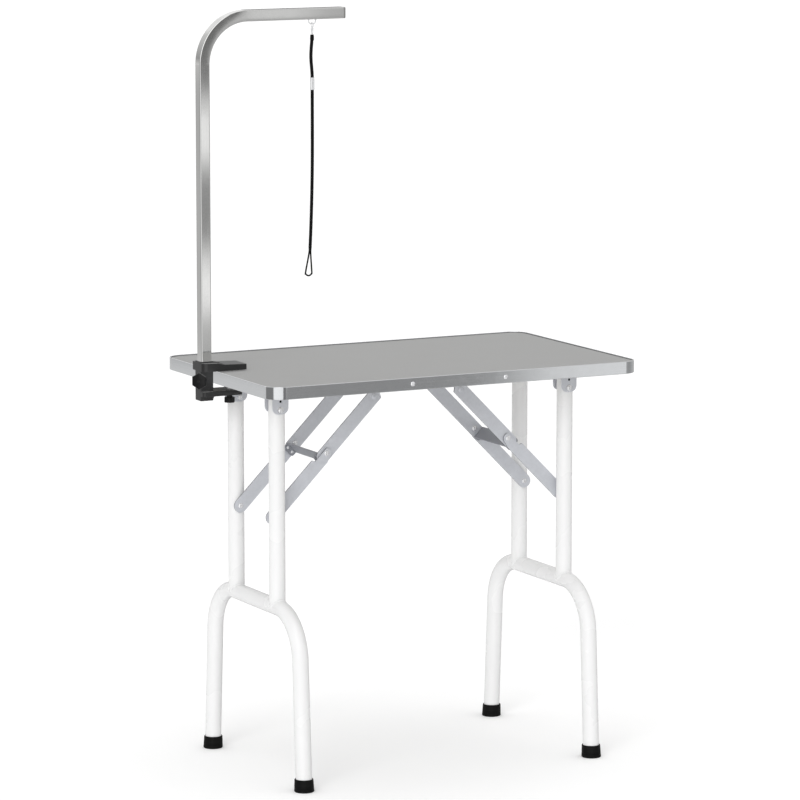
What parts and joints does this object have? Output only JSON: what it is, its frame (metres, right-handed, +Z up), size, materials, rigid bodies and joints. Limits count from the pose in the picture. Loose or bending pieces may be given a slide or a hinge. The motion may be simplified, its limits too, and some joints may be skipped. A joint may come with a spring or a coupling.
{
  "type": "folding grooming table",
  "caption": "Folding pet grooming table: rubber-topped board with a metal edge band on white tube legs with folding stays, a clamp-on square arm and a hanging noose.",
  "frame": {"origin": "on the floor, under the middle of the bounding box of the table, clamp and arm", "axes": "+Z up, +X along the long side of the tabletop, away from the clamp, +Y to the rear"},
  "size_m": [0.858, 0.4986, 1.5],
  "materials": {
    "mat": "fine-ribbed grey rubber",
    "board": "raw board",
    "band": "satin",
    "white": "gloss white powder coat",
    "stay": "satin silver zinc",
    "strap": "satin silver zinc, darker",
    "rivet": "bright",
    "foot": "matt black rubber",
    "arm": "brushed stainless",
    "clamp": "satin black glass-filled plastic",
    "plug": "grey plastic",
    "cord": "black braided nylon"
  },
  "bodies": {
    "table": {"tabletop_board": "board", "rubber_mat": "mat", "edge_band": "band", "band_screw_front_left": "rivet", "band_screw_front_right": "rivet", "band_screw_rear_left": "rivet", "band_screw_rear_right": "rivet", "left_bracket_front": "stay", "left_bracket_rear": "stay", "right_bracket_front": "stay", "right_bracket_rear": "stay", "left_leg_bolt_front": "rivet", "left_leg_bolt_rear": "rivet", "right_leg_bolt_front": "rivet", "right_leg_bolt_rear": "rivet", "left_top_bracket_front": "stay", "left_top_bracket_rear": "stay", "right_top_bracket_front": "stay", "right_top_bracket_rear": "stay"},
    "left_leg": {"left_leg_frame": "white", "left_post_front": "white", "left_post_rear": "white", "left_foot_front": "foot", "left_foot_rear": "foot"},
    "left_upper_stays": {"left_upper_stay_front": "stay", "left_upper_stay_rear": "stay", "left_stay_strap": "strap", "left_knee_rivet_front": "rivet", "left_knee_rivet_rear": "rivet"},
    "left_lower_stays": {"left_lower_stay_front": "stay", "left_lower_stay_rear": "stay", "left_leg_rivet_front": "rivet", "left_leg_rivet_rear": "rivet"},
    "right_leg": {"right_leg_frame": "white", "right_post_front": "white", "right_post_rear": "white", "right_foot_front": "foot", "right_foot_rear": "foot"},
    "right_upper_stays": {"right_upper_stay_front": "stay", "right_upper_stay_rear": "stay", "right_stay_strap": "strap", "right_knee_rivet_front": "rivet", "right_knee_rivet_rear": "rivet"},
    "right_lower_stays": {"right_lower_stay_front": "stay", "right_lower_stay_rear": "stay", "right_leg_rivet_front": "rivet", "right_leg_rivet_rear": "rivet"},
    "clamp": {"clamp_body": "clamp"},
    "arm": {"arm_tube": "arm", "arm_end_plug": "plug", "wire_eye": "rivet"},
    "lock_knob": {"arm_lock_knob": "clamp"},
    "pad": {"clamp_pad": "clamp"},
    "screw": {"clamp_screw": "clamp"},
    "snap": {"snap_hook": "rivet"},
    "gate": {"snap_gate": "rivet"},
    "swivel": {"swivel_eye": "rivet", "noose_cord": "cord"},
    "slide": {"noose_slide": "rivet"}
  },
  "joints": [
    {"name": "left_leg_fold", "type": "hinge", "parent": "table", "child": "left_leg", "pos_m": [-0.29592, 0, 0.7345], "axis": [0, -1, 0], "range_deg": [0, 66]},
    {"name": "left_upper_stay_turn", "type": "hinge", "parent": "table", "child": "left_upper_stays", "pos_m": [-0.07242, 0, 0.741], "axis": [0, 1, 0], "range_deg": [0, 52.17]},
    {"name": "left_knee_turn", "type": "hinge", "parent": "left_upper_stays", "child": "left_lower_stays", "pos_m": [-0.17825, 0, 0.63541], "axis": [0, -1, 0], "range_deg": [0, 144.83]},
    {"name": "right_leg_fold", "type": "hinge", "parent": "table", "child": "right_leg", "pos_m": [0.34408, 0, 0.7345], "axis": [0, 1, 0], "range_deg": [0, 53]},
    {"name": "right_upper_stay_turn", "type": "hinge", "parent": "table", "child": "right_upper_stays", "pos_m": [0.12058, 0, 0.741], "axis": [0, -1, 0], "range_deg": [0, 44.22]},
    {"name": "right_knee_turn", "type": "hinge", "parent": "right_upper_stays", "child": "right_lower_stays", "pos_m": [0.22641, 0, 0.63541], "axis": [0, 1, 0], "range_deg": [0, 125.78]},
    {"name": "clamp_along_edge", "type": "slide", "parent": "table", "child": "clamp", "axis": [0, 1, 0], "range_m": [-0.07, 0.025]},
    {"name": "arm_height", "type": "slide", "parent": "clamp", "child": "arm", "axis": [0, 0, 1], "range_m": [-0.14, 0.04]},
    {"name": "arm_lock_turn", "type": "hinge", "parent": "clamp", "child": "lock_knob", "pos_m": [-0.39592, 0.023, 0.7835], "axis": [-0.7431, -0.6691, 0], "range_deg": [0, 360]},
    {"name": "pad_travel", "type": "slide", "parent": "clamp", "child": "pad", "axis": [0, 0, -1], "range_m": [0, 0.0081]},
    {"name": "clamp_screw_turn", "type": "hinge", "parent": "pad", "child": "screw", "pos_m": [-0.34192, 0.023, 0.74], "axis": [0, 0, -1], "range_deg": [0, 2304]},
    {"name": "snap_swing", "type": "hinge", "parent": "arm", "child": "snap", "pos_m": [-0.15992, 0.023, 1.4686], "axis": [1, 0, 0], "range_deg": [-50, 50]},
    {"name": "snap_gate_press", "type": "hinge", "parent": "snap", "child": "gate", "pos_m": [-0.15992, 0.02465, 1.46252], "axis": [1, 0, 0], "range_deg": [0, 35], "stiffness_Nm_per_rad": 0.002},
    {"name": "swivel_turn", "type": "hinge", "parent": "snap", "child": "swivel", "pos_m": [-0.15992, 0.023, 1.4575], "axis": [0, 0, 1], "continuous": true},
    {"name": "slide_along_noose", "type": "slide", "parent": "swivel", "child": "slide", "axis": [0, 0, -1], "range_m": [0, 0.08]}
  ],
  "couplings": [
    {"joint": "left_upper_stay_turn", "follows": "left_leg_fold", "ratio": 0.78283},
    {"joint": "left_knee_turn", "follows": "left_leg_fold", "ratio": 2.1869},
    {"joint": "right_upper_stay_turn", "follows": "right_leg_fold", "ratio": 0.82491},
    {"joint": "right_knee_turn", "follows": "right_leg_fold", "ratio": 2.3638},
    {"joint": "pad_travel", "follows": "clamp_screw_turn", "m_per_rad": 0.00019894}
  ]
}
